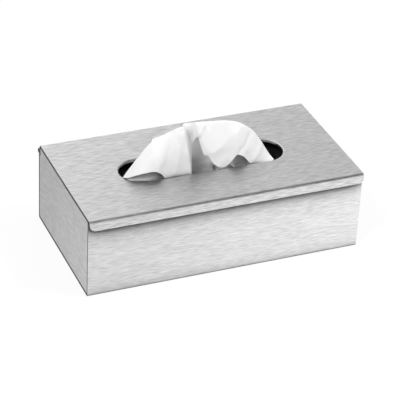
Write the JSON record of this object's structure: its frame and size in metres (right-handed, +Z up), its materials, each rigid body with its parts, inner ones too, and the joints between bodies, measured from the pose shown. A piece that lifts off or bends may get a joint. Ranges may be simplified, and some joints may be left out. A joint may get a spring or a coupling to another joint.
{
  "type": "tissue dispenser",
  "caption": "Brushed steel tissue dispenser: an oblong box housing with a hinged, slotted lid, loaded with a carton of facial tissues, one drawn up through the slot.",
  "frame": {"origin": "centre of the underside of the base", "axes": "+X along the housing to the right, +Y to the hinge at the rear, -Y to the lip at the front, +Z up"},
  "size_m": [0.27, 0.1499, 0.1244],
  "materials": {
    "housing_steel": "satin, grain along the length",
    "end_panel_steel": "satin, fine grain",
    "lid_steel": "satin, grain along the length",
    "hinge_steel": "rolled, semi-matt",
    "pin_steel": "drawn wire",
    "buffer_silicone": "translucent grey, matt",
    "carton_board": "dark printed board, matt",
    "film": "smoky thin film",
    "tissue_paper": "soft two-ply tissue, matt"
  },
  "bodies": {
    "root": {"housing_shell": "housing_steel", "left_end_panel": "end_panel_steel", "right_end_panel": "end_panel_steel", "body_hinge_leaf": "hinge_steel", "hinge_pin": "pin_steel", "lid_buffers": "buffer_silicone", "refill_carton": "carton_board", "carton_film": "film", "tissue_stack": "tissue_paper"},
    "lid": {"lid_panel": "lid_steel", "lid_hinge_leaf": "hinge_steel"},
    "tissue": {"popup_tissue": "tissue_paper"}
  },
  "joints": [
    {"name": "lid_hinge", "type": "hinge", "parent": "root", "child": "lid", "pos_m": [0, 0.07155, 0.0736], "axis": [-1, 0, 0], "range_deg": [0, 110]},
    {"name": "tissue_pull", "type": "slide", "parent": "lid", "child": "tissue", "axis": [0, 0, 1], "range_m": [0, 0.16]}
  ]
}
